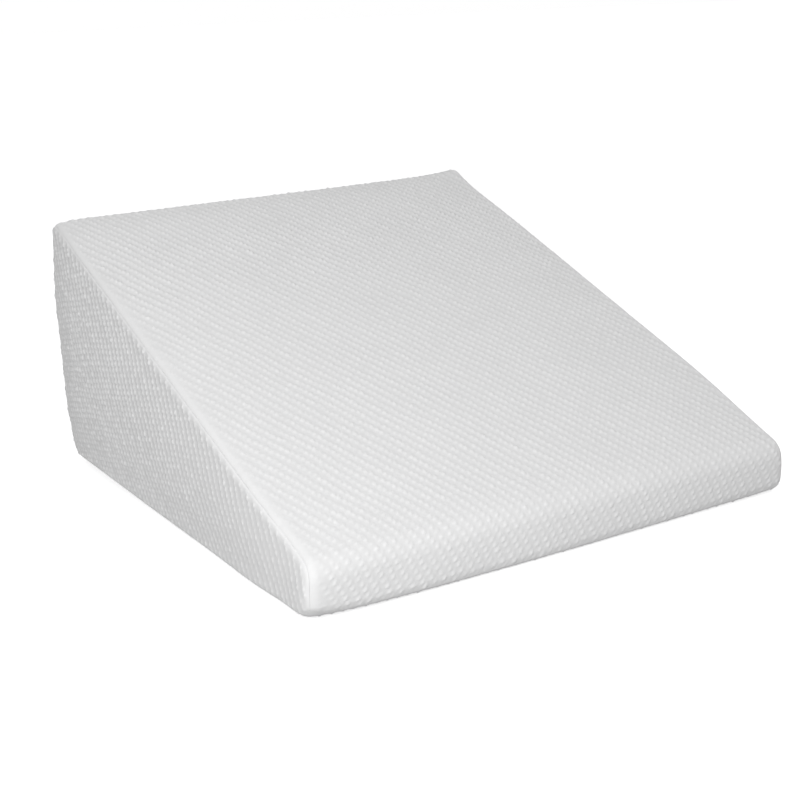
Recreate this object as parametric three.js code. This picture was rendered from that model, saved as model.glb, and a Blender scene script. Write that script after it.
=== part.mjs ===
// A foam wedge pillow in a fitted knitted cover: a thin lip in front, a sloping top, a tall back end
// and a flat underside. One long panel of the cover wraps lip, slope, tall end and underside, and a
// wedge-shaped panel is sewn to it on the left and on the right, in the middle of the rounded edges.
// Millimetres. +Z is up, +Y points to the tall end, and the origin is the middle of the underside.
import * as THREE from 'three';

// Overall size, over the swell of every face
const WIDTH = 610;
const DEPTH = 660;
const HEIGHT = 305;
const LIP_HEIGHT = 57;

// How far the filling swells each face, how flat the swell is along it, and what share of it is lost
// at the left and right edges
const SLOPE_CROWN = 5;
const BACK_CROWN = 6;
const LIP_CROWN = 0.6;
const SIDE_CROWN = 4;
const EDGE_LOSS = 0.4;
const SWELL_POWER = 2.5;

// The rounded edge between the long panel and a side panel. Its corners are drawn in sideways, and
// the pull fades out over a distance from each corner.
const EDGE_RADIUS = 11;
const CORNER_PULL = 4;
const PULL_REACH = 150;

// The side panels' cloth, and the gap that parts them from the filled body
const CLOTH = 2.5;
const GAP = 0.3;

// Where along the quarter round edge the seam runs, and the angles at which each side of it is stepped
const SEAM_ANGLE = Math.PI / 4;
const EDGE_ANGLES = [SEAM_ANGLE, SEAM_ANGLE * 1.5, SEAM_ANGLE * 2];
const WRAP_ANGLES = [SEAM_ANGLE / 2, SEAM_ANGLE];
const SEAM_GAP_ANGLE = GAP / (EDGE_RADIUS - CLOTH);

// Stations across the long panel's flat part, and the rings that close a side face towards its centre
const ACROSS = [-1, -0.8, -0.55, -0.28, 0, 0.28, 0.55, 0.8, 1];
const SIDE_RINGS = [0.86, 0.6, 0.3];

const FRONT_Y = -DEPTH / 2 + LIP_CROWN;
const BACK_Y = DEPTH / 2 - BACK_CROWN;
const SLOPE_ANGLE = Math.atan2(HEIGHT - LIP_HEIGHT, DEPTH);

// The corners of the side outline, counter-clockwise seen from +X. y and z are where the two runs
// beside a corner would meet if it weren't rounded. arc is the number of steps round the corner, and
// crown and steps belong to the run that leaves it: underside, tall end, slope and lip in turn.
const CORNERS = [
  { corner: 'lip_bottom', y: FRONT_Y, z: 0, radius: 15, arc: 5, crown: 0, steps: 8 },
  { corner: 'back_bottom', y: BACK_Y, z: 0, radius: 20, arc: 5, crown: BACK_CROWN, steps: 8 },
  { corner: 'back_top', y: BACK_Y, z: HEIGHT, radius: 15, arc: 6, crown: SLOPE_CROWN, steps: 12 },
  { corner: 'lip_top', y: FRONT_Y, z: LIP_HEIGHT, radius: 26, arc: 5, crown: LIP_CROWN, steps: 4 },
];

// The rounding circle of a corner touches both runs. The top one at the back touches the height line.
function circle({ corner, y, z, radius }) {
  const inward = y < 0 ? radius : -radius;
  const drop = corner === 'lip_top' ? radius * Math.tan(Math.PI / 4 - SLOPE_ANGLE / 2) : radius;
  return { y: y + inward, z: z > 0 ? z - drop : z + radius, radius };
}

// The outward direction, as an angle from +Y, of the straight run that touches two circles
function runNormal(from, to) {
  const dy = to.y - from.y;
  const dz = to.z - from.z;
  const lean = Math.acos((from.radius - to.radius) / Math.hypot(dy, dz));
  return Math.atan2(dz, dy) - lean;
}

function onCircle({ y, z, radius }, angle) {
  return { y: y + radius * Math.cos(angle), z: z + radius * Math.sin(angle) };
}

// The closed side outline as stations: a point, its outward normal, the swell and the corner pull
function sideOutline() {
  const circles = CORNERS.map(circle);
  const count = circles.length;
  const normals = circles.map((from, i) => runNormal(from, circles[(i + 1) % count]));
  const stations = [];
  CORNERS.forEach(({ arc, crown, steps }, i) => {
    const next = circles[(i + 1) % count];
    const end = normals[i];
    let start = normals[(i + count - 1) % count];
    while (start > end) start -= 2 * Math.PI;
    for (let k = 0; k <= arc; k += 1) {
      const angle = start + ((end - start) * k) / arc;
      stations.push({ ...onCircle(circles[i], angle), angle, crown: 0, pull: CORNER_PULL });
    }
    const from = onCircle(circles[i], end);
    const to = onCircle(next, end);
    const length = Math.hypot(to.y - from.y, to.z - from.z);
    for (let k = 1; k < steps; k += 1) {
      const t = k / steps;
      const fromCorner = length * Math.min(t, 1 - t);
      stations.push({
        y: from.y + (to.y - from.y) * t,
        z: from.z + (to.z - from.z) * t,
        angle: end,
        crown: crown * (1 - Math.abs(2 * t - 1) ** SWELL_POWER),
        pull: CORNER_PULL * Math.max(0, 1 - fromCorner / PULL_REACH) ** 2,
      });
    }
  });
  return stations;
}

// Half the width at a station, from the middle plane to the flat of the side face
const halfWidth = (station) => WIDTH / 2 - SIDE_CROWN - station.pull;

// A point of the cover: across runs from -1 to 1 over the width, inset goes inwards from the outline
function coverPoint(station, x, across, inset) {
  const out = station.crown * (1 - EDGE_LOSS * across ** 2) - inset;
  const y = station.y + out * Math.cos(station.angle);
  const z = station.z + out * Math.sin(station.angle);
  return new THREE.Vector3(x, y, z);
}

// A ring on the rounded right edge: reach is the distance from the centre of the round
function edgeRing(stations, angle, reach) {
  const inset = EDGE_RADIUS - reach * Math.cos(angle);
  return stations.map((station) => {
    const x = halfWidth(station) - EDGE_RADIUS + reach * Math.sin(angle);
    return coverPoint(station, x, 1, inset);
  });
}

// A ring of the right side face, shrunk towards the face's centre, depth below its outer surface
function sideRing(stations, centre, shrink, depth) {
  return stations.map((station) => {
    const edge = coverPoint(station, 0, 1, EDGE_RADIUS);
    const swell = SIDE_CROWN * (1 - shrink ** 2);
    const x = WIDTH / 2 - SIDE_CROWN - station.pull * shrink ** 2 + swell - depth;
    return new THREE.Vector3(x, 0, 0).add(edge.sub(centre).multiplyScalar(shrink)).add(centre);
  });
}

// The middle of the outline, weighted by the length of its runs
function outlineCentre(stations) {
  const centre = new THREE.Vector3();
  let length = 0;
  stations.forEach((station, i) => {
    const next = stations[(i + 1) % stations.length];
    const span = Math.hypot(next.y - station.y, next.z - station.z);
    centre.y += (span * (station.y + next.y)) / 2;
    centre.z += (span * (station.z + next.z)) / 2;
    length += span;
  });
  return centre.divideScalar(length);
}

// The same rings on the left, in the order that keeps the skin's faces pointing out
function mirrored(rings) {
  const flip = (p) => new THREE.Vector3(-p.x, p.y, p.z);
  return rings.map((ring) => ring.map(flip)).reverse();
}

// A ring's size, as its first point's distance from the line through the face centres
function ringSize(ring, centre) {
  return Math.hypot(ring[0].y - centre.y, ring[0].z - centre.z);
}

// A closed skin over rings of equal length, with a fan of triangles at the first and the last centre.
// Each quad is split from the larger ring's point to the smaller ring's next one, so that two skins
// one over the other keep their distance.
function skin(rings, firstCentre, lastCentre) {
  const count = rings[0].length;
  const points = [...rings.flat(), firstCentre, lastCentre];
  const first = points.length - 2;
  const last = points.length - 1;
  const faces = [];
  for (let j = 0; j < count; j += 1) {
    const next = (j + 1) % count;
    faces.push(first, next, j);
    for (let i = 0; i < rings.length - 1; i += 1) {
      const here = i * count;
      const there = here + count;
      const narrowing = ringSize(rings[i], firstCentre) >= ringSize(rings[i + 1], firstCentre);
      faces.push(here + j, here + next, narrowing ? there + next : there + j);
      faces.push(narrowing ? here + j : here + next, there + next, there + j);
    }
    const end = (rings.length - 1) * count;
    faces.push(end + j, end + next, last);
  }
  const geometry = new THREE.BufferGeometry();
  const coordinates = points.flatMap((point) => point.toArray());
  geometry.setAttribute('position', new THREE.Float32BufferAttribute(coordinates, 3));
  geometry.setIndex(faces);
  geometry.computeVertexNormals();
  return geometry;
}

// The right end of the filled body: the round under the side panel, then the face behind it
function bodyEnd(stations, centre) {
  const depth = CLOTH + GAP;
  const reach = EDGE_RADIUS - depth;
  const round = EDGE_ANGLES.map((angle) => edgeRing(stations, angle, reach));
  const face = SIDE_RINGS.map((shrink) => sideRing(stations, centre, shrink, depth));
  return [...round, ...face];
}

function filledBody(stations, centre) {
  const flat = ACROSS.map((across) =>
    stations.map((station) => {
      const x = across * (halfWidth(station) - EDGE_RADIUS);
      return coverPoint(station, x, across, 0);
    }),
  );
  const edge = WRAP_ANGLES.map((angle) => edgeRing(stations, angle, EDGE_RADIUS));
  const right = [...edge, ...bodyEnd(stations, centre)];
  const endX = WIDTH / 2 - CLOTH - GAP;
  const rings = [...mirrored(right), ...flat, ...right];
  return skin(rings, centre.clone().setX(-endX), centre.clone().setX(endX));
}

// A side panel follows the face and turns over the rounded edge as far as the seam
function sidePanel(stations, centre, side) {
  const angles = [SEAM_ANGLE + SEAM_GAP_ANGLE, ...EDGE_ANGLES.slice(1)];
  const outer = [
    ...angles.map((angle) => edgeRing(stations, angle, EDGE_RADIUS)),
    ...SIDE_RINGS.map((shrink) => sideRing(stations, centre, shrink, 0)),
  ];
  const inner = [
    ...angles.map((angle) => edgeRing(stations, angle, EDGE_RADIUS - CLOTH)),
    ...SIDE_RINGS.map((shrink) => sideRing(stations, centre, shrink, CLOTH)),
  ];
  const rings = [...inner.reverse(), ...outer];
  const innerCentre = centre.clone().setX(side * (WIDTH / 2 - CLOTH));
  const outerCentre = centre.clone().setX((side * WIDTH) / 2);
  if (side > 0) return skin(rings, innerCentre, outerCentre);
  return skin(mirrored(rings), outerCentre, innerCentre);
}

// White bubble knit, matt
function knit(name, color) {
  return new THREE.MeshStandardMaterial({ name, color, roughness: 0.95, metalness: 0 });
}

function piece(name, geometry, material) {
  const mesh = new THREE.Mesh(geometry, material);
  mesh.name = name;
  return mesh;
}

const outline = sideOutline();
const middle = outlineCentre(outline);

const pillow = new THREE.Group();
pillow.name = 'wedge_pillow';
pillow.add(piece('wedge_body', filledBody(outline, middle), knit('wrap_knit', 0xf4f4f3)));
pillow.add(piece('side_panel_left', sidePanel(outline, middle, -1), knit('left_knit', 0xeeeeee)));
pillow.add(piece('side_panel_right', sidePanel(outline, middle, 1), knit('right_knit', 0xeeeeee)));

export default pillow;
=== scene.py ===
# A foam wedge pillow in a fitted cover of white bubble knit, on a pale floor in soft studio light.
# The cover is made as a maker sews it: a long panel over lip and slope, a tall-end panel, a base
# panel and two wedge-shaped side panels. Each panel is laid out flat in fabric millimetres, given
# the knit's raised bubbles, and wrapped over the rounded wedge. Lengths here are millimetres.
import math

import bpy
import numpy as np
from mathutils import Matrix, Vector
from mathutils.bvhtree import BVHTree
from mathutils.geometry import delaunay_2d_cdt


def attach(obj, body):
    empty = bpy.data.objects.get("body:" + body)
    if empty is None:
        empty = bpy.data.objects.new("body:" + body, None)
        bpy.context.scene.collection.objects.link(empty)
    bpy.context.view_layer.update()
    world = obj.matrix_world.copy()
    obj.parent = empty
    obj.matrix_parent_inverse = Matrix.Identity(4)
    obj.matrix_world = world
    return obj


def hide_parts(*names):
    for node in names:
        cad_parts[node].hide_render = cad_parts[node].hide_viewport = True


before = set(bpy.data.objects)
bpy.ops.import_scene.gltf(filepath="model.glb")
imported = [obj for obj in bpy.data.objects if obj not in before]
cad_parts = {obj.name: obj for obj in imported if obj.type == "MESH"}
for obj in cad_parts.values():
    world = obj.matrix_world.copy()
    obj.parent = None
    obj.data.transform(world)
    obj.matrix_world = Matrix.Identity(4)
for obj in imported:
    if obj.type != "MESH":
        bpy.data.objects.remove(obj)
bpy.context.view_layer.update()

MM = 0.001

# Camera, as fitted to the photograph
CAMERA_AZIMUTH = -0.53553
CAMERA_ELEVATION = 0.27511
CAMERA_ROLL = -0.04705
CAMERA_DISTANCE = 1705.65
CAMERA_TARGET = (1.35, 0.0, 89.33)
CAMERA_FOCAL_PIXELS = 1439.07
CAMERA_CLIP = (0.05, 100.0)
FRAME_PIXELS = 800
SENSOR = 36.0

# The wedge, with the sizes that part.mjs has
WIDTH = 610.0
DEPTH = 660.0
HEIGHT = 305.0
LIP_HEIGHT = 57.0
SLOPE_CROWN = 5.0
BACK_CROWN = 6.0
LIP_CROWN = 0.6
SIDE_CROWN = 4.0
EDGE_LOSS = 0.4
SWELL_POWER = 2.5
EDGE_RADIUS = 11.0
CORNER_PULL = 4.0
PULL_REACH = 150.0
SEAM_ANGLE = math.pi / 4
SEAM_REACH = EDGE_RADIUS * SEAM_ANGLE
FRONT_Y = -DEPTH / 2 + LIP_CROWN
BACK_Y = DEPTH / 2 - BACK_CROWN
SLOPE_ANGLE = math.atan2(HEIGHT - LIP_HEIGHT, DEPTH)

# Corners of the side outline, counter-clockwise seen from +X: name, y and z of the sharp corner,
# rounding radius, and the crown of the run that leaves the corner
CORNERS = (
    ("lip_bottom", FRONT_Y, 0.0, 15.0, 0.0),
    ("back_bottom", BACK_Y, 0.0, 20.0, BACK_CROWN),
    ("back_top", BACK_Y, HEIGHT, 15.0, SLOPE_CROWN),
    ("lip_top", FRONT_Y, LIP_HEIGHT, 26.0, LIP_CROWN),
)
ARC_STEP = 0.5
RUN_STEP = 2.0
# The side face swells with this power of its relative depth, which is kept above a least value
BULGE_POWER = 1.4
LEAST_DEPTH = 1e-3

# The knit: lens-shaped bubbles at the points of a slanted lattice, in fabric millimetres (right,
# up) seen from outside. A bubble is longest along its axis, and its size and place vary a little.
LATTICE = np.array(((10.64, 2.08), (2.84, -6.11)))
# How a panel's stretch shapes the knit, in rows: a distance along the fabric from the front, the
# relief's height, and the direction, half length and half width of the bubbles. RELIEF_TILT is the
# share by which the wrap's relief is higher at the right edge and lower at the left edge.
WRAP_KNIT = np.array((
    (50, 1.15, math.radians(40), 2.5, 1.6),
    (110, 0.92, math.radians(62), 2.6, 1.95),
    (420, 1.22, math.radians(66), 2.6, 1.95),
    (620, 2.15, math.radians(76), 2.8, 1.95),
    (710, 1.6, math.radians(76), 2.8, 1.95),
    (760, 1.0, math.radians(76), 2.8, 1.95),
    (1100, 1.3, math.radians(70), 2.7, 1.8),
))
SIDE_KNIT = np.array((
    (80, 0.65, math.radians(95), 2.9, 1.5),
    (300, 1.2, math.radians(96), 3.05, 1.5),
    (420, 1.5, math.radians(98), 3.2, 1.5),
    (580, 1.75, math.radians(99), 3.3, 1.5),
    (640, 1.0, math.radians(99), 3.1, 1.5),
    (660, 0.7, math.radians(99), 3.1, 1.5),
))
RELIEF_TILT = 0.2
# How steeply a bubble ends, how its height and place vary, the number of cells either way after
# which its random draws repeat, and how the relief varies from place to place
BUBBLE_POWER = 1.5
BUBBLE_VARIES = 0.24
BUBBLE_SHIFT = 0.28
BUBBLE_TABLE = 64
RELIEF_VARIES = 0.15
# The share of the relief that is left where cloth is pressed flat, the relief that lies level with
# the plain wedge, the level of cloth that is pressed flat, and its place on the grooves' painted
# shade
LEAST_RELIEF = 0.07
CREST = 0.85
FLAT_LEVEL = -0.15
FLAT_PAINTED_SHADE_LEVEL = 0.8
# How far from a seam the bubbles are pressed flat: beside the left side seam, where the band loses
# width towards the tall end, beside the right one, beside a cross seam, and on a side panel
LEFT_SEAM_FLAT = 18.0
LEFT_FLAT_LOSS = 9.0
LEFT_LOSS_START = 520.0
LEFT_LOSS_SPAN = 150.0
RIGHT_SEAM_FLAT = 5.0
CROSS_SEAM_FLAT = 4.0
SIDE_PANEL_FLAT = 3.2
FLAT_START = 1.5
FLAT_START_WRAP = 3.5

# Smooth random fields: number of waves, shortest and longest wave
SLOW_WAVES = (5, 70, 260)
QUICK_WAVES = (9, 13, 40)
RELIEF_WAVES = (14, 9, 30)
TIGHT_WAVES = (6, 25, 120)
RIPPLE_WAVES = (7, 9, 26)
RIPPLE_SPREAD = (4, 60, 200)
# How far the knit strays from its lattice, and the share of that which is slow and quick
WANDER = 0.55
WANDER_SLOW = 1.2
WANDER_QUICK = 0.5

# How much shorter the steps in a lattice cell are near a bubble, and their number on the panels
SPLIT_NEAR = np.array((0.45, 0.12))
TOP_SPLIT = (5, 3)
FINE_SPLIT = (6, 4)
PLAIN_SPLIT = (4, 2)
# Seeds of the knit on the wrap and on the two side panels
WRAP_SEED = 11
LEFT_SEED = 51
RIGHT_SEED = 71

# Seams: the panels' edges turn inwards, and the cloth puckers beside them
CLOTH = 2.2
SEAM_GAP = 0.04
SEAM_DEPTH = 0.4
SEAM_WIDTH = 0.9
SEAM_SEED = 5
SEAM_LEAST = 0.2
SEAM_SPREAD = (0.4, 0.8)
# The side seam's groove is faint at the front corner, full after it, and weaker up the slope:
# start and span of both changes along the fabric, the least and what is lost
SEAM_FAINT = 0.06
SEAM_FULL = (34.0, 40.0)
SEAM_LOSS = 0.45
SEAM_WEAKER = (150.0, 300.0)
# Places along a side seam count on from here, and from this much further on the left
SIDE_SEAM_START = 2000.0
SIDE_SEAM_NEXT = 3000.0
# How deep the panels' edges roll in, less along the base, and how far that reaches
ROLL = 1.1
ROLL_BELOW = 0.3
ROLL_START = 4.0
ROLL_SPAN = 22.0
ROLL_REACH_WRAP = 10.0
ROLL_REACH_SIDE = 4.0
ROLL_REACH_CROSS = 3.0
PUCKER = 0.28
PUCKER_START = 1.5
PUCKER_LEVEL = 0.5
PUCKER_REACH = 9.0
# Fine creases in the back left corner of the wrap, and the denser points that carry them
CREASE_REACH = (12.0, 8.0)
CREASE_TURN = math.radians(22)
CREASE_SPACING = 2.8
CREASE_DEPTH = 0.9
CREASE_PATCH = (15.0, 12.0)
CREASE_STEP = 1.0
# Points along a panel's side seam and cross seam, their rows' distances from the edge, the gap from
# the rows to the other points, and the step of the lining's points
RIM_STEP = 2.4
RIM_CROSS_POINTS = 250
RIM_ROWS = (SEAM_GAP, 0.25, 1.1, 2.5)
ROW_CLEARANCE = 1.2
INNER_STEP = 40.0
# Flat points nearer than this count as one, and delaunay_2d_cdt keeps what is inside the rim
SAME_PLACE = 1e-5
KEEP_INSIDE = 1

# Millimetres of fabric to a unit of the fabric map
FABRIC_UNIT = 100.0
# Corners of the boxes that hold a panel's bubbled face, lining and rim in the map for baking
BAKE_FACE = np.array(((0.01, 0.01), (0.99, 0.91)))
BAKE_LINING = np.array(((0.01, 0.93), (0.30, 0.99)))
BAKE_RIM = np.array(((0.32, 0.93), (0.99, 0.99)))

# The cloth simulation that swells the cover: voxel, shrinking beforehand, frames, cloth, the band
# beside a seam that is held, rounds of smoothing, the limit of a move, and the height above the
# floor at which it is whole
SWELL_VOXEL = 10.0
SWELL_START = 1.5
SWELL_FRAMES = 20
SWELL_QUALITY = 5
SWELL_MASS = 0.3
SWELL_TENSION = 40.0
SWELL_SHEAR = 5.0
SWELL_BENDING = 0.5
SWELL_PRESSURE = 1.0
SWELL_PIN = 14.0
SWELL_SMOOTHING = 12
SWELL_MOST = 2.4
SWELL_CLEAR = 45.0

# Places where the sewn cover leaves the plain wedge: centre, reach and push along x, y and z
DENTS = (
    ("back_right_ear", (305, 322, 305), (58, 24, 34), (0.0, 0.8, 4.2)),
    ("back_right_tip", (303, 316, 305), (20, 42, 32), (3.2, 0.5, 3.7)),
    ("back_left_corner", (-305, 324, 305), (26, 30, 34), (0.4, -1.0, -4.0)),
    ("back_left_tip", (-305, 324, 304), (20, 24, 11), (-2.2, 0.0, 0.0)),
    ("back_edge_left", (-215, 326, 305), (95, 40, 40), (0.0, 0.0, -1.1)),
    ("left_edge_high", (-305, 324, 205), (30, 60, 38), (-1.2, 0.3, 0.0)),
    ("left_edge_low", (-305, 324, 60), (30, 60, 55), (-2.6, 0.6, 0.0)),
    ("left_foot_back", (-305, 200, 0), (20, 110, 12), (0.0, 0.0, 2.4)),
    ("left_foot_front", (-305, -230, 2), (20, 80, 14), (-1.5, 0.0, -1.0)),
    ("lip_left_lift", (-290, -330, 0), (34, 16, 19), (0.6, 1.0, 4.6)),
    ("lip_left_fade", (-235, -330, 0), (60, 20, 14), (0.0, 0.0, 1.7)),
    ("lip_left_corner", (-301, -327, 0), (15, 15, 16), (0.4, 1.6, 3.8)),
    ("lip_left_edge", (-305, -322, 34), (24, 32, 22), (-3.6, 0.8, 0.0)),
    ("lip_left_splay", (-305, -315, 4), (24, 36, 26), (-4.2, 0.0, 1.2)),
    ("lip_foot", (0, -330, 6), (230, 20, 12), (0.0, -1.2, -1.7)),
    ("lip_right_corner", (305, -330, 0), (30, 40, 24), (-1.0, 0.6, 1.4)),
    ("nose", (305, -318, 28), (40, 50, 30), (2.4, -0.5, 0.0)),
    ("right_edge", (305, -190, 100), (40, 160, 70), (1.3, 0.0, 0.5)),
)


def circle_of(name, y, z, radius):
    """The circle that rounds a corner of the side outline, as y, z and radius."""
    inward = radius if y < 0 else -radius
    drop = radius * math.tan(math.pi / 4 - SLOPE_ANGLE / 2) if name == "lip_top" else radius
    return y + inward, (z - drop if z > 0 else z + radius), radius


def run_normal(a, b):
    """The outward direction, as an angle from +Y, of the straight run that touches two circles."""
    dy, dz = b[0] - a[0], b[1] - a[1]
    return math.atan2(dz, dy) - math.acos((a[2] - b[2]) / math.hypot(dy, dz))


def on_circle(circle, angle):
    return np.array((circle[0] + circle[2] * np.cos(angle), circle[1] + circle[2] * np.sin(angle)))


def side_outline():
    """The outline as columns y, z, normal y, normal z and crown, its seams' rows, and its runs."""
    circles = [circle_of(*corner[:4]) for corner in CORNERS]
    normals = [run_normal(c, circles[(i + 1) % 4]) for i, c in enumerate(circles)]
    blocks, seams, runs, count = [], {}, [], 0
    for i, (name, _, _, radius, crown) in enumerate(CORNERS):
        start, end = normals[i - 1], normals[i]
        while start > end:
            start -= 2 * math.pi
        steps = 2 * math.ceil(radius * (end - start) / ARC_STEP / 2)
        angles = np.linspace(start, end, steps + 1)
        bend = on_circle(circles[i], angles)
        arc = np.vstack((bend, np.cos(angles), np.sin(angles), 0 * angles)).T
        seams[name] = count + steps // 2
        first, last = on_circle(circles[i], end), on_circle(circles[(i + 1) % 4], end)
        t = np.linspace(0, 1, math.ceil(np.hypot(*(last - first)) / RUN_STEP) + 1)[1:-1, None]
        swell = crown * (1 - np.abs(2 * t - 1) ** SWELL_POWER)
        normal = np.array((math.cos(end), math.sin(end)))
        run = np.hstack((first + (last - first) * t, np.tile(normal, (len(t), 1)), swell))
        blocks += [arc, run]
        runs.append((first, normal))
        count += len(arc) + len(run)
    return np.vstack(blocks), seams, runs


def inside_depths(y, z):
    """Distances inwards from the four straight runs, measured from the flat of the side face."""
    point = np.stack((y, z), -1)
    depths = [(start - point) @ normal - EDGE_RADIUS for start, normal in RUNS]
    return [np.maximum(depth, LEAST_DEPTH) for depth in depths]


def bulge_of(y, z):
    """How far the side face swells at a place, from 0 along its edge."""
    return 1 / sum(1 / depth for depth in inside_depths(y, z))


def corner_pull(y, z):
    """How far the edges are drawn in sideways: most at a corner, less further from it."""
    keep = 1.0
    for _, cy, cz, radius, _ in CORNERS:
        far = np.maximum(np.hypot(y - cy, z - cz) - radius, 0) / PULL_REACH
        keep = keep * (1 - np.maximum(0, 1 - far) ** 2)
    return CORNER_PULL * (1 - keep)


def half_width(y, z):
    """Half the width at a place of the side face."""
    swell = SIDE_CROWN * (bulge_of(y, z) / BULGE_MOST) ** BULGE_POWER
    return WIDTH / 2 - SIDE_CROWN - corner_pull(y, z) + swell


OUTLINE, SEAM_ROWS, RUNS = side_outline()
_lengths = np.hypot(*(np.roll(OUTLINE[:, :2], -1, 0) - OUTLINE[:, :2]).T)
AROUND = _lengths.sum()
_along = np.concatenate(((0,), np.cumsum(_lengths)[:-1]))
# Fabric goes up the lip and the slope, down the tall end and forward under the base
FABRIC_W = (_along[SEAM_ROWS["lip_bottom"]] - _along) % AROUND
W_BACK_TOP = FABRIC_W[SEAM_ROWS["back_top"]]
W_BACK_BOTTOM = FABRIC_W[SEAM_ROWS["back_bottom"]]
BULGE_MOST = bulge_of(*np.meshgrid(np.linspace(-300, 300, 121), np.linspace(15, 290, 56))).max()


def face_edge(rows):
    """Where the rounded edge ends and the flat of the side face begins, as y and z."""
    out = (rows[..., 4] * (1 - EDGE_LOSS) - EDGE_RADIUS)[..., None]
    return rows[..., :2] + out * rows[..., 2:4]


# Where the creases gather in the back left corner, in fabric places of the wrap
CREASE_PLACE = np.array((-297.0, W_BACK_TOP - 8.0))
FACE_EDGE = face_edge(OUTLINE)
HALF = half_width(FACE_EDGE[:, 0], FACE_EDGE[:, 1])


def outline_at(w):
    """The outline's columns at fabric places w, and half the width there."""
    columns = np.column_stack((OUTLINE, HALF))
    return np.stack([np.interp(w, FABRIC_W, column, period=AROUND) for column in columns.T], -1)


def wrap_place(flat, lift):
    """Points of the long panels: flat holds fabric places (u, w), lift goes outwards."""
    u, w = flat.T
    rows = outline_at(w)
    level = rows[:, 5] - EDGE_RADIUS
    turn = np.maximum(np.abs(u) - level, 0) / EDGE_RADIUS
    across = np.minimum(np.abs(u) / level, 1)
    reach = EDGE_RADIUS + lift
    x = np.sign(u) * (np.minimum(np.abs(u), level) + reach * np.sin(turn))
    out = rows[:, 4] * (1 - EDGE_LOSS * across**2) - EDGE_RADIUS + reach * np.cos(turn)
    return np.column_stack((x, rows[:, :2] + out[:, None] * rows[:, 2:4]))


def nearest_edge(y, z):
    """The fabric place w of the nearest point of a side face's edge, and how far beyond it."""
    point = np.column_stack((y, z))
    order = np.argsort(FABRIC_W)
    edge, w = FACE_EDGE[order], FABRIC_W[order]
    after = np.roll(edge, -1, 0)
    span = after - edge
    size = np.maximum((span**2).sum(1), 1e-9)
    stretch = np.append(np.diff(w), AROUND - w[-1])
    best_w, best_d = np.empty(len(point)), np.empty(len(point))
    for part in np.array_split(np.arange(len(point)), max(1, len(point) // 2000)):
        q = point[part][:, None, :] - edge
        close = np.argmin((q**2).sum(2), 1)
        far = np.full(len(part), np.inf)
        for k in (close, (close - 1) % len(edge)):
            rel = point[part] - edge[k]
            t = np.clip((rel * span[k]).sum(1) / size[k], 0, 1)
            miss = rel - span[k] * t[:, None]
            d = np.hypot(*miss.T)
            nearer = d < far
            far = np.where(nearer, d, far)
            best_w[part] = np.where(nearer, (w[k] + stretch[k] * t) % AROUND, best_w[part])
    rows = outline_at(best_w)
    best_d = ((point - face_edge(rows)) * rows[:, 2:4]).sum(1)
    return best_w, best_d


def side_place(flat, lift, side):
    """Points of a side panel: flat holds (right, up) from outside, lift goes outwards."""
    y, z = flat[:, 0] * side, flat[:, 1]
    w, beyond = nearest_edge(y, z)
    rows = outline_at(w)
    over = beyond > 0
    turn = np.where(over, math.pi / 2 - beyond / EDGE_RADIUS, math.pi / 2)
    reach = EDGE_RADIUS + lift
    half = np.where(over, rows[:, 5], half_width(y, z))
    x = half - EDGE_RADIUS + reach * np.sin(turn)
    out = rows[:, 4] * (1 - EDGE_LOSS) - EDGE_RADIUS + reach * np.cos(turn)
    around = rows[:, :2] + out[:, None] * rows[:, 2:4]
    yz = np.where(over[:, None], around, np.column_stack((y, z)))
    return np.column_stack((side * x, yz))


def beside_seam(points):
    """Which points of the filled body lie beside a seam, where the cover is held."""
    start_y, start_z = points[:, 1], points[:, 2]
    depths = np.sort([depth + EDGE_RADIUS for depth in inside_depths(start_y, start_z)], 0)
    side = WIDTH / 2 - np.abs(points[:, 0]) < SWELL_PIN
    fold = (start_y < 0) & (start_z > LIP_HEIGHT / 2) & ~side
    return (side & (depths[0] < SWELL_PIN)) | ((depths[1] < SWELL_PIN) & ~fold)


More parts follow.
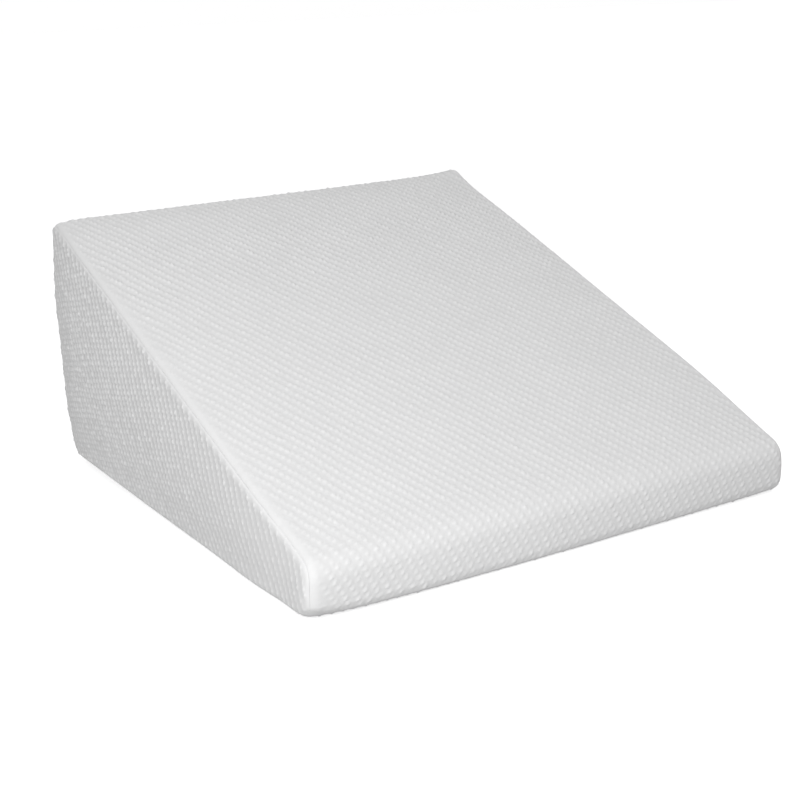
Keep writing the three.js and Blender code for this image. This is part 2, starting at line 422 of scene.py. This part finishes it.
def swelling():
    """Blows up a coarse copy of the filled body as cloth. Returns a search tree of its triangles,
    their corners' places, and the corners' moves, smoothed and kept below SWELL_MOST."""
    scene = bpy.context.scene
    form = bpy.data.objects.new("form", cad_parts["wedge_body"].data.copy())
    scene.collection.objects.link(form)
    remesh = form.modifiers.new("even", "REMESH")
    remesh.mode = "VOXEL"
    remesh.voxel_size = SWELL_VOXEL * MM
    even = form.evaluated_get(bpy.context.evaluated_depsgraph_get())
    form.data = bpy.data.meshes.new_from_object(even)
    form.modifiers.clear()
    mesh = form.data
    start = vertex_array(mesh)
    seams = form.vertex_groups.new(name="seams")
    seams.add(np.flatnonzero(beside_seam(start)).tolist(), 1.0, "REPLACE")
    for vertex in mesh.vertices:
        vertex.co -= vertex.normal * SWELL_START * MM
    shrunk = vertex_array(mesh)
    cloth = form.modifiers.new("cloth", "CLOTH")
    settings = cloth.settings
    settings.vertex_group_mass = "seams"
    settings.quality = SWELL_QUALITY
    settings.mass = SWELL_MASS
    settings.tension_stiffness = settings.compression_stiffness = SWELL_TENSION
    settings.shear_stiffness = SWELL_SHEAR
    settings.bending_stiffness = SWELL_BENDING
    settings.use_pressure = True
    settings.uniform_pressure_force = SWELL_PRESSURE
    settings.effector_weights.gravity = 0
    cloth.collision_settings.use_collision = False
    cloth.point_cache.frame_start, cloth.point_cache.frame_end = 1, SWELL_FRAMES
    for step in range(1, SWELL_FRAMES + 1):
        scene.frame_set(step)
    blown = form.evaluated_get(bpy.context.evaluated_depsgraph_get()).to_mesh()
    move = vertex_array(blown) - shrunk
    pairs = np.array([edge.vertices[:] for edge in mesh.edges])
    degree = np.bincount(pairs.ravel(), minlength=len(move))[:, None]
    for _ in range(SWELL_SMOOTHING):
        total = np.zeros_like(move)
        np.add.at(total, pairs[:, 0], move[pairs[:, 1]])
        np.add.at(total, pairs[:, 1], move[pairs[:, 0]])
        move = 0.5 * move + 0.5 * total / degree
    far = np.maximum(np.linalg.norm(move, axis=1, keepdims=True), 1e-6)
    move *= SWELL_MOST * np.tanh(far / SWELL_MOST) / far
    mesh.calc_loop_triangles()
    corners = np.array([triangle.vertices[:] for triangle in mesh.loop_triangles])
    scene.frame_set(1)
    bpy.data.objects.remove(form)
    tree = BVHTree.FromPolygons(start.tolist(), corners.tolist())
    return tree, start[corners], move[corners]


def vertex_array(mesh):
    values = np.empty(len(mesh.vertices) * 3)
    mesh.vertices.foreach_get("co", values)
    return values.reshape(-1, 3) / MM


def swelled(points):
    """Moves points as the nearest part of the blown-up form moved; what lies on the floor stays."""
    if SWELLING is None:
        return points
    tree, corners, moves = SWELLING
    hits = [tree.find_nearest(point) for point in points.tolist()]
    spots = np.array([hit[0] for hit in hits])
    faces = np.array([hit[2] for hit in hits])
    a, b, c = (corners[faces, k] for k in range(3))
    whole = np.cross(b - a, c - a)
    size = np.maximum((whole**2).sum(1), 1e-9)
    share_b = (np.cross(spots - a, c - a) * whole).sum(1) / size
    share_c = (np.cross(b - a, spots - a) * whole).sum(1) / size
    shares = np.column_stack((1 - share_b - share_c, share_b, share_c))
    move = (moves[faces] * shares[:, :, None]).sum(1)
    move[:, 2] *= smooth_step(points[:, 2] / SWELL_CLEAR)
    return points + move


def waves(flat, seed, count, shortest, longest):
    """A smooth random field, about 1 high: a seeded sum of plain waves."""
    rng = np.random.default_rng(seed)
    length = np.exp(rng.uniform(np.log(shortest), np.log(longest), count))
    angle = rng.uniform(0, 2 * math.pi, count)
    phase = rng.uniform(0, 2 * math.pi, count)
    total = np.zeros(len(flat))
    for size, turn, shift in zip(length, angle, phase):
        way = flat[:, 0] * math.cos(turn) + flat[:, 1] * math.sin(turn)
        total += np.sin(2 * math.pi * way / size + shift)
    return total / math.sqrt(count / 2)


def table_at(table, where):
    """The columns of a table, apart from the first, at values of the first."""
    return [np.interp(where, table[:, 0], column) for column in table.T[1:]]


def wander(flat, seed):
    """How far the knit's pattern strays from its lattice."""
    slow = np.column_stack([waves(flat, seed + k, *SLOW_WAVES) for k in (1, 2)])
    quick = np.column_stack([waves(flat, seed + k, *QUICK_WAVES) for k in (3, 4)])
    return WANDER * (slow * WANDER_SLOW + quick * WANDER_QUICK)


def bubbles(flat, knit, seed):
    """The knit's relief at fabric places: 1 at the top of a bubble and 0 in the ground between."""
    _, axis, long, wide = knit
    rng = np.random.default_rng(seed)
    sizes = 1 + BUBBLE_VARIES * rng.uniform(-1, 1, (BUBBLE_TABLE, BUBBLE_TABLE))
    shifts = BUBBLE_SHIFT * rng.uniform(-1, 1, (BUBBLE_TABLE, BUBBLE_TABLE, 2))
    spots = flat + wander(flat, seed)
    home = np.round(spots @ np.linalg.inv(LATTICE)).astype(int)
    along = np.stack((np.cos(axis), np.sin(axis)), -1) / long[:, None]
    across = np.stack((np.sin(axis), -np.cos(axis)), -1) / wide[:, None]
    height = np.zeros(len(flat))
    for step in [(i, j) for i in (-1, 0, 1) for j in (-1, 0, 1)]:
        at = home + step
        entry = tuple((at % BUBBLE_TABLE).T)
        miss = spots - at @ LATTICE - shifts[entry]
        far = (miss * along).sum(1) ** 2 + (miss * across).sum(1) ** 2
        height += sizes[entry] * np.exp(-(far**BUBBLE_POWER))
    return height * (1 + RELIEF_VARIES * waves(flat, seed + 7, *RELIEF_WAVES))


def dents(points):
    """The cover's own shape, away from the plain wedge."""
    moved = points.copy()
    for _, centre, reach, push in DENTS:
        near = np.exp(-(((points - centre) / reach) ** 2).sum(1))
        moved += near[:, None] * push
    return moved


def smooth_step(t):
    t = np.clip(t, 0, 1)
    return t * t * (3 - 2 * t)


def creases(flat):
    """How deep the fine creases are that the seams gather in the back left corner of the wrap."""
    miss = flat - CREASE_PLACE
    near = np.exp(-((miss / CREASE_REACH) ** 2).sum(1))
    across = miss[:, 1] * math.cos(CREASE_TURN) - miss[:, 0] * math.sin(CREASE_TURN)
    return CREASE_DEPTH * near * (0.5 - 0.5 * np.cos(2 * math.pi * across / CREASE_SPACING))


def seam_roll(w):
    """How far the edges roll in at a side seam: most above the floor, little along the base."""
    up = smooth_step((w - ROLL_START) / ROLL_SPAN)
    up *= smooth_step((W_BACK_BOTTOM - ROLL_START - w) / ROLL_SPAN)
    return ROLL_BELOW + (ROLL - ROLL_BELOW) * up


def side_seam_place(w, side):
    """Places along the side seams, which differ from each other's and from the cross seams'."""
    return w % AROUND + SIDE_SEAM_START + np.where(side < 0, SIDE_SEAM_NEXT, 0)


def seam_lift(depth, along, seed):
    """The turned-in edge and the puckers beside it, from the distance to the seam."""
    line = np.column_stack((along, 0 * along))
    spread = smooth_step(SEAM_SPREAD[0] + SEAM_SPREAD[1] * waves(line, SEAM_SEED, *TIGHT_WAVES))
    tight = SEAM_LEAST + (1 - SEAM_LEAST) * spread
    up = (along - SIDE_SEAM_START) % SIDE_SEAM_NEXT
    full = smooth_step((up - SEAM_FULL[0]) / SEAM_FULL[1])
    weaker = smooth_step((up - SEAM_WEAKER[0]) / SEAM_WEAKER[1])
    tight *= SEAM_FAINT + (1 - SEAM_FAINT) * full - SEAM_LOSS * weaker
    turned = SEAM_DEPTH * tight * np.exp(-((depth / SEAM_WIDTH) ** 2))
    spread = smooth_step(PUCKER_LEVEL + waves(line, seed + 1, *RIPPLE_SPREAD))
    ripple = waves(line, seed, *RIPPLE_WAVES) * spread
    away = 1 - np.exp(-depth / PUCKER_START)
    return -turned - PUCKER * np.abs(ripple) * away * np.exp(-depth / PUCKER_REACH)


def flat_by(depth, reach, start=FLAT_START):
    """The share of the relief that is left at a distance from a seam that presses it flat."""
    return smooth_step((depth - start) / reach)


def lattice_points(low, high, split, seed):
    """Points of the knit's lattice in a box, moved as the pattern strays. Each cell is split in
    steps that are shorter near a bubble."""
    box = np.array([(x, y) for x in (low[0], high[0]) for y in (low[1], high[1])])
    reach = box @ np.linalg.inv(LATTICE) * split
    first, last = np.floor(reach.min(0)).astype(int), np.ceil(reach.max(0)).astype(int)
    grid = np.stack(np.meshgrid(*(np.arange(a, b + 1) for a, b in zip(first, last))), -1)
    cells = grid.reshape(-1, 2) / split
    points = (cells - SPLIT_NEAR * np.sin(2 * math.pi * cells) / (2 * math.pi)) @ LATTICE
    return points - wander(points, seed)


def triangles_in(rim_count, flat):
    """Triangles between flat points, inside the rim that the first of them make."""
    points = [Vector(p) for p in flat.tolist()]
    result = delaunay_2d_cdt(points, [], [list(range(rim_count))], KEEP_INSIDE, SAME_PLACE, False)
    faces = np.array([face for face in result[2]])
    a, b, c = flat[faces[:, 0]], flat[faces[:, 1]], flat[faces[:, 2]]
    turned = np.cross(b - a, c - a) < 0
    faces[turned] = faces[turned][:, ::-1]
    return faces


def panel(name, rows, inner, edges_at, place, knit_at, seed, flat_bottom=False):
    """A closed thin shell: the bubbled face, a plain lining face CLOTH below it, and the rim."""
    rim = len(rows[0])
    flat = np.vstack(rows + [inner])
    depth, along, fade, roll = edges_at(flat)
    stretch = knit_at(flat)
    relief = bubbles(flat, stretch, seed)
    pressed = 1 - fade
    fade = LEAST_RELIEF + (1 - LEAST_RELIEF) * fade
    flat_place = place(flat, np.zeros(len(flat)))
    height = stretch[0] * (fade * (relief - CREST) + (1 - fade) * FLAT_LEVEL)
    height += seam_lift(depth, along, seed + 20) - roll
    outer = place(flat, height)
    outer_faces = triangles_in(rim, flat)
    grid = [np.arange(low, high, INNER_STEP) for low, high in zip(rows[0].min(0), rows[0].max(0))]
    back = np.stack(np.meshgrid(*grid), -1).reshape(-1, 2)
    back = back[edges_at(back)[0] > INNER_STEP / 4]
    back_flat = np.vstack((rows[0], back))
    back_points = place(back_flat, np.full(len(back_flat), -CLOTH - SEAM_DEPTH))
    back_faces = triangles_in(rim, back_flat)[:, ::-1] + len(outer)
    here = np.arange(rim)
    there = np.roll(here, -1)
    wall_a = np.column_stack((here, here + len(outer), there + len(outer)))
    wall_b = np.column_stack((here, there + len(outer), there))
    lifted = np.vstack((outer, back_points))
    plain = np.vstack((flat_place, place(back_flat, np.zeros(len(back_flat)))))
    points = dents(lifted + swelled(plain) - plain)
    faces = np.vstack((outer_faces, back_faces, wall_a, wall_b))
    if flat_bottom:
        points[:, 2] = np.maximum(points[:, 2], 0)
    mesh = bpy.data.meshes.new(name)
    mesh.vertices.add(len(points))
    mesh.vertices.foreach_set("co", (points * MM).astype(np.float32).ravel())
    mesh.loops.add(faces.size)
    mesh.loops.foreach_set("vertex_index", faces.ravel().astype(np.int32))
    mesh.polygons.add(len(faces))
    mesh.polygons.foreach_set("loop_start", np.arange(0, faces.size, 3, dtype=np.int32))
    mesh.polygons.foreach_set("loop_total", np.full(len(faces), 3, dtype=np.int32))
    mesh.update(calc_edges=True)
    mesh.validate()
    mesh.polygons.foreach_set("use_smooth", np.ones(len(faces), dtype=bool))
    everywhere = np.vstack((flat, back_flat))
    fabric = mesh.uv_layers.new(name="Fabric")
    laid_out = everywhere[faces.ravel()] / FABRIC_UNIT
    fabric.data.foreach_set("uv", laid_out.astype(np.float32).ravel())
    # A second map without overlaps, for baking: the bubbled face, with lining and rim in a strip
    share = (everywhere - flat.min(0)) / np.ptp(flat, 0)
    face_uv = BAKE_FACE[0] + share[:len(flat)] * (BAKE_FACE[1] - BAKE_FACE[0])
    lining_uv = BAKE_LINING[0] + share[len(flat):] * (BAKE_LINING[1] - BAKE_LINING[0])
    rim_at = np.column_stack((here, here, here + 1, here, here + 1, here + 1)).reshape(-1, 3) / rim
    rim_up = np.tile(((0, 1, 1), (0, 1, 0)), (rim, 1))
    rim_uv = BAKE_RIM[0] + np.dstack((rim_at, rim_up)) * (BAKE_RIM[1] - BAKE_RIM[0])
    rim_uv = np.vstack((rim_uv[0::2], rim_uv[1::2]))
    baked = np.vstack((face_uv[outer_faces], lining_uv[back_faces - len(outer)], rim_uv))
    bake = mesh.uv_layers.new(name="OFBake")
    bake.data.foreach_set("uv", baked.astype(np.float32).ravel())
    # The relief attribute drives the grooves' painted shade; cloth pressed flat is given a fixed
    # level of it
    relief = relief * (1 - pressed) + FLAT_PAINTED_SHADE_LEVEL * pressed
    for label, values in (("relief", relief), ("pressed", pressed)):
        layer = mesh.attributes.new(label, "FLOAT", "POINT")
        values = np.concatenate((values, np.zeros(len(back_flat))))
        layer.data.foreach_set("value", values.astype(np.float32))
    piece = bpy.data.objects.new(name, mesh)
    bpy.context.scene.collection.objects.link(piece)
    return piece


def spaced(low, high, step):
    return np.linspace(low, high, max(2, math.ceil((high - low) / step) + 1))


def wrap_panel(name, low, high, split, seed, flat_bottom=False):
    """A long panel between two seams across the outline, at fabric places low and high."""

    def edge(w):
        return outline_at(w)[..., 5] - EDGE_RADIUS + SEAM_REACH

    def edges_at(flat):
        u, w = np.abs(flat[:, 0]), flat[:, 1]
        sideways = edge(w) - u
        lengthways = np.minimum(w - low, high - w)
        along = np.where(sideways < lengthways, side_seam_place(w, flat[:, 0]), flat[:, 0])
        left = flat[:, 0] < 0
        loss = LEFT_FLAT_LOSS * smooth_step((w - LEFT_LOSS_START) / LEFT_LOSS_SPAN)
        reach = np.where(left, LEFT_SEAM_FLAT - loss, RIGHT_SEAM_FLAT)
        start = np.where(left, FLAT_START_WRAP, FLAT_START)
        fade = flat_by(sideways, reach, start) * flat_by(lengthways, CROSS_SEAM_FLAT)
        roll = seam_roll(w % AROUND) * np.exp(-np.maximum(sideways, 0) / ROLL_REACH_WRAP)
        cross = ROLL_BELOW * np.exp(-np.maximum(lengthways, 0) / ROLL_REACH_CROSS)
        roll = np.maximum(roll, cross) + creases(flat)
        return np.minimum(sideways, lengthways), along, fade, roll

    def knit_at(flat):
        height, axis, long, wide = table_at(WRAP_KNIT, flat[:, 1])
        return height * (1 + RELIEF_TILT * flat[:, 0] / (WIDTH / 2)), axis, long, wide

    rows = []
    for inset in RIM_ROWS:
        up = spaced(low, high, RIM_STEP)
        up[0] += inset
        up[-1] -= inset
        keep = (up >= low + inset) & (up <= high - inset)
        up = up[keep]
        side = edge(up) - inset
        bottom = np.linspace(-side[0], side[0], RIM_CROSS_POINTS + 2)[1:-1]
        top = np.linspace(side[-1], -side[-1], RIM_CROSS_POINTS + 2)[1:-1]
        rows.append(np.vstack((
            np.column_stack((bottom, 0 * bottom + up[0])),
            np.column_stack((side, up)),
            np.column_stack((top, 0 * top + up[-1])),
            np.column_stack((-side[::-1], up[::-1])),
        )))
    inner = lattice_points((-WIDTH / 2, low), (WIDTH / 2, high), split, seed)
    if low < CREASE_PLACE[1] < high:
        here = (np.abs(inner - CREASE_PLACE) < CREASE_PATCH).all(1)
        patch = [np.arange(-size, size + CREASE_STEP, CREASE_STEP) for size in CREASE_PATCH]
        patch = np.stack(np.meshgrid(*patch), -1).reshape(-1, 2) + CREASE_PLACE
        inner = np.vstack((inner[~here], patch))
    inner = inner[edges_at(inner)[0] > RIM_ROWS[-1] + ROW_CLEARANCE]
    return panel(name, rows, inner, edges_at, wrap_place, knit_at, seed, flat_bottom)


def side_panel(name, side, split, seed):
    """A wedge-shaped side panel; side is -1 for the left one and 1 for the right one."""

    def edges_at(flat):
        w, beyond = nearest_edge(flat[:, 0] * side, flat[:, 1])
        depth = SEAM_REACH - beyond
        roll = seam_roll(w) * np.exp(-np.maximum(depth, 0) / ROLL_REACH_SIDE)
        return depth, side_seam_place(w, side), flat_by(depth, SIDE_PANEL_FLAT), roll

    def place(spots, lift):
        return side_place(spots, lift, side)

    def knit_at(flat):
        return table_at(SIDE_KNIT, side * flat[:, 0] + DEPTH / 2)

    w = np.concatenate([
        spaced(a, b, RIM_STEP)[:-1]
        for a, b in ((0, W_BACK_TOP), (W_BACK_TOP, W_BACK_BOTTOM), (W_BACK_BOTTOM, AROUND))
    ])
    at = outline_at(w)
    rows = []
    for inset in RIM_ROWS:
        ring = face_edge(at) + (SEAM_REACH - inset) * at[:, 2:4]
        ring = ring * (side, 1)
        rows.append(ring[::-1] if side < 0 else ring)
    low, high = rows[0].min(0), rows[0].max(0)
    inner = lattice_points(low, high, split, seed)
    inner = inner[edges_at(inner)[0] > RIM_ROWS[-1] + ROW_CLEARANCE]
    return panel(name, rows, inner, edges_at, place, knit_at, seed)


# The knit's finish: its colour, the share of it left in the grooves as painted shade, the relief
# at which that painted shade ends, the duller patches, and the painted shade on cloth pressed
# flat beside the seams, as shares of the colour, and the range of its roughness
KNIT_SHADE = (0.768, 0.768, 0.770)
GROOVE_PAINTED_SHADE = 0.915
GROOVE_TOP = 0.8
DULL_SHADE = 0.975
PRESSED_PAINTED_SHADE = 0.955
KNIT_ROUGHNESS = (0.82, 0.96)
NOISE_RANGE = (0.3, 0.7)
# Faint waves in the cloth run both ways: repeat over two pi, in units of the fabric map, and
# direction. A wave texture of scale 1 turns by WAVE_TURN in a unit.
LOOPS = ((0.0085, "X"), (0.0110, "Y"))
WAVE_TURN = 20
# Scales of the noise, bumps' strength and depth in metres, sheen's weight and roughness
PATCH_SCALE = 1.3
FUZZ_SCALE = 160.0
LOOP_BUMP = (0.35, 0.00025)
FUZZ_BUMP = (0.3, 0.0002)
KNIT_SPECULAR = 0.2
KNIT_SHEEN = (0.15, 0.5)


def node(tree, kind, inputs=(), **settings):
    """A new shader node with its inputs set or linked."""
    made = tree.nodes.new(kind)
    for key, value in settings.items():
        setattr(made, key, value)
    for key, value in dict(inputs).items():
        if isinstance(value, bpy.types.NodeSocket):
            tree.links.new(value, made.inputs[key])
        else:
            made.inputs[key].default_value = value
    return made


def spread(tree, value, low, high, start=0.0, end=1.0):
    """Maps a value between start and end to one between low and high."""
    made = node(tree, "ShaderNodeMapRange", {
        "Value": value, "From Min": start, "From Max": end, "To Min": low, "To Max": high})
    return made.outputs[0]


def bump(tree, height, strength, depth, inputs=()):
    made = node(tree, "ShaderNodeBump", {
        "Height": height, "Strength": strength, "Distance": depth, **dict(inputs)})
    return made.outputs[0]


def knit_material(name, shade):
    """White knit: pale bubbles, grooves darkened with painted shade, painted shade on the pressed
    bands beside the seams, faint waves and a soft fuzz.
    """
    material = bpy.data.materials.new(name)
    material.use_nodes = True
    tree = material.node_tree
    shader = tree.nodes["Principled BSDF"]
    fabric = node(tree, "ShaderNodeUVMap", uv_map="Fabric").outputs[0]
    relief = node(tree, "ShaderNodeAttribute", attribute_name="relief").outputs["Fac"]
    patches = node(tree, "ShaderNodeTexNoise", {
        "Vector": fabric, "Scale": PATCH_SCALE, "Detail": 3.0}).outputs[0]
    # Painted shade: the lower the relief, the darker the colour, so the grooves between bubbles
    # look shaded
    groove = spread(tree, relief, 0.0, 1.0, 0.0, GROOVE_TOP)
    low = tuple(c * GROOVE_PAINTED_SHADE for c in shade) + (1,)
    high = tuple(shade) + (1,)
    colour = node(tree, "ShaderNodeMix", {0: groove, 6: low, 7: high}, data_type="RGBA")
    dull = spread(tree, patches, DULL_SHADE, 1.0, *NOISE_RANGE)
    pressed = node(tree, "ShaderNodeAttribute", attribute_name="pressed").outputs["Fac"]
    # Painted shade: cloth pressed flat beside the seams, where the rounded edges catch the most
    # light, is darkened in colour
    pressed_painted_shade = spread(tree, pressed, 1.0, PRESSED_PAINTED_SHADE)
    level = node(tree, "ShaderNodeMath", {0: dull, 1: pressed_painted_shade}, operation="MULTIPLY")
    tint = node(tree, "ShaderNodeVectorMath", {0: colour.outputs[2]}, operation="SCALE")
    tree.links.new(level.outputs[0], tint.inputs["Scale"])
    tree.links.new(tint.outputs[0], shader.inputs["Base Color"])
    fuzz = node(tree, "ShaderNodeTexNoise", {
        "Vector": fabric, "Scale": FUZZ_SCALE, "Detail": 2.0}).outputs[0]
    rough = spread(tree, fuzz, *KNIT_ROUGHNESS, *NOISE_RANGE)
    tree.links.new(rough, shader.inputs["Roughness"])
    loops = []
    for spacing, direction in LOOPS:
        wave = node(tree, "ShaderNodeTexWave", {
            "Vector": fabric, "Scale": 1 / spacing / WAVE_TURN, "Distortion": 0.6, "Detail": 1.0,
            "Detail Scale": 2.0}, bands_direction=direction)
        loops.append(wave.outputs["Fac"])
    weave = node(tree, "ShaderNodeMath", {0: loops[0], 1: loops[1]}, operation="MULTIPLY")
    woven = bump(tree, weave.outputs[0], *LOOP_BUMP)
    fluff = bump(tree, fuzz, *FUZZ_BUMP, {"Normal": woven})
    tree.links.new(fluff, shader.inputs["Normal"])
    shader.inputs["Specular IOR Level"].default_value = KNIT_SPECULAR
    shader.inputs["Sheen Weight"].default_value = KNIT_SHEEN[0]
    shader.inputs["Sheen Roughness"].default_value = KNIT_SHEEN[1]
    return material


def make_camera():
    a, e, roll = CAMERA_AZIMUTH, CAMERA_ELEVATION, CAMERA_ROLL
    back = Vector((math.sin(a) * math.cos(e), -math.cos(a) * math.cos(e), math.sin(e)))
    right = Vector((math.cos(a), math.sin(a), 0))
    up = back.cross(right)
    c, s = math.cos(roll), math.sin(roll)
    right, up = right * c + up * s, up * c - right * s
    data = bpy.data.cameras.new("camera")
    data.sensor_width = SENSOR
    data.lens = CAMERA_FOCAL_PIXELS * SENSOR / FRAME_PIXELS
    data.clip_start, data.clip_end = CAMERA_CLIP
    camera = bpy.data.objects.new("camera", data)
    place = (Vector(CAMERA_TARGET) + back * CAMERA_DISTANCE) * MM
    turn = Matrix((right, up, back)).transposed().to_4x4()
    camera.matrix_world = Matrix.Translation(place) @ turn
    bpy.context.scene.collection.objects.link(camera)
    bpy.context.scene.camera = camera


# Soft lights. The wide ones are far away, so that the floor stays even: name, azimuth and elevation
# in degrees (azimuth 0 is in front, 90 on the right), angular size in degrees, strength.
WIDE_LIGHTS = (
    ("low_front", 25.0, 20.0, 36.0, 0.48),
    ("back_right", 150.0, 45.0, 50.0, 0.50),
    ("low_back", 170.0, 6.0, 14.0, 1.00),
    ("low_right", 108.0, 3.0, 8.0, 0.60),
)
# Soft boxes near the front left corner: name, place and size in metres, watts
BOXES = (
    ("box_left_front", (-1.3, -1.3, 0.9), 0.9, 13.0),
    ("box_left_front_low", (-1.3, -1.3, 0.4), 0.9, 7.2),
    ("box_over_front", (-0.3, -0.9, 1.6), 0.9, 4.0),
)
LIGHT_AIM = Vector((0, 0, 0.12))
LIGHT_FAR = 3
WORLD_LIGHT = 0.4
# The floor, in metres: flat as far as RIM_START, then rising a little to its rim. It lies a hair
# below the pillow.
FLOOR_SHADE = (0.94, 0.94, 0.94, 1)
FLOOR_ROUGHNESS = 0.9
FLOOR_GLOW = 0.46
FLOOR_STEPS = 64
FLOOR_REACH = 60.0
RIM_START = 35.0
RIM_HEIGHT = 4.0
FLOOR_LEVEL = -0.0002


def make_light(name, kind, place, energy):
    data = bpy.data.lights.new(name, kind)
    data.energy = energy
    lamp = bpy.data.objects.new(name, data)
    lamp.location = place
    lamp.rotation_mode = "QUATERNION"
    lamp.rotation_quaternion = (LIGHT_AIM - Vector(place)).to_track_quat("-Z", "Y")
    bpy.context.scene.collection.objects.link(lamp)
    return data


def make_studio():
    for name, azimuth, elevation, size, strength in WIDE_LIGHTS:
        a, e = math.radians(azimuth), math.radians(elevation)
        way = Vector((math.sin(a) * math.cos(e), -math.cos(a) * math.cos(e), math.sin(e)))
        make_light(name, "SUN", LIGHT_AIM + way * LIGHT_FAR, strength).angle = math.radians(size)
    for name, place, size, watts in BOXES:
        box = make_light(name, "AREA", place, watts)
        box.shape = "DISK"
        box.size = size
    world = bpy.data.worlds.new("studio")
    world.use_nodes = True
    background = world.node_tree.nodes["Background"]
    background.inputs[0].default_value = (1, 1, 1, 1)
    background.inputs[1].default_value = WORLD_LIGHT
    bpy.context.scene.world = world
    view = bpy.context.scene.view_settings
    view.view_transform = "Standard"
    view.look = "None"


def make_floor():
    """A plain pale floor that glows a little, but sends no light or shadow onto the pillow."""
    mesh = bpy.data.meshes.new("floor")
    points, faces = [(0, 0, FLOOR_LEVEL)], []
    for reach, level in ((RIM_START, FLOOR_LEVEL), (FLOOR_REACH, RIM_HEIGHT)):
        for k in range(FLOOR_STEPS):
            turn = 2 * math.pi * k / FLOOR_STEPS
            points.append((reach * math.cos(turn), reach * math.sin(turn), level))
    for k in range(FLOOR_STEPS):
        a, b = 1 + k, 1 + (k + 1) % FLOOR_STEPS
        faces += [(0, a, b), (a, a + FLOOR_STEPS, b + FLOOR_STEPS, b)]
    mesh.from_pydata(points, [], faces)
    floor = bpy.data.objects.new("floor", mesh)
    bpy.context.scene.collection.objects.link(floor)
    material = bpy.data.materials.new("pale_floor")
    material.use_nodes = True
    shader = material.node_tree.nodes["Principled BSDF"]
    shader.inputs["Base Color"].default_value = FLOOR_SHADE
    shader.inputs["Roughness"].default_value = FLOOR_ROUGHNESS
    shader.inputs["Emission Color"].default_value = (1, 1, 1, 1)
    shader.inputs["Emission Strength"].default_value = FLOOR_GLOW
    mesh.materials.append(material)
    floor.visible_diffuse = False
    floor.visible_shadow = False


make_camera()
make_studio()
make_floor()
SWELLING = swelling()

FINISH = knit_material("bubble_knit_white", KNIT_SHADE)
PIECES = (
    (wrap_panel("wrap_top", 0.0, W_BACK_TOP, TOP_SPLIT, WRAP_SEED), "wedge_body"),
    (wrap_panel("wrap_end", W_BACK_TOP, W_BACK_BOTTOM, FINE_SPLIT, WRAP_SEED), "wedge_body"),
    (wrap_panel("wrap_base", W_BACK_BOTTOM, AROUND, PLAIN_SPLIT, WRAP_SEED, True), "wedge_body"),
    (side_panel("side_left", -1, FINE_SPLIT, LEFT_SEED), "side_panel_left"),
    (side_panel("side_right", 1, FINE_SPLIT, RIGHT_SEED), "side_panel_right"),
)
for piece, replaced in PIECES:
    piece.data.materials.append(FINISH)
    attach(piece, "root")
    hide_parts(replaced)
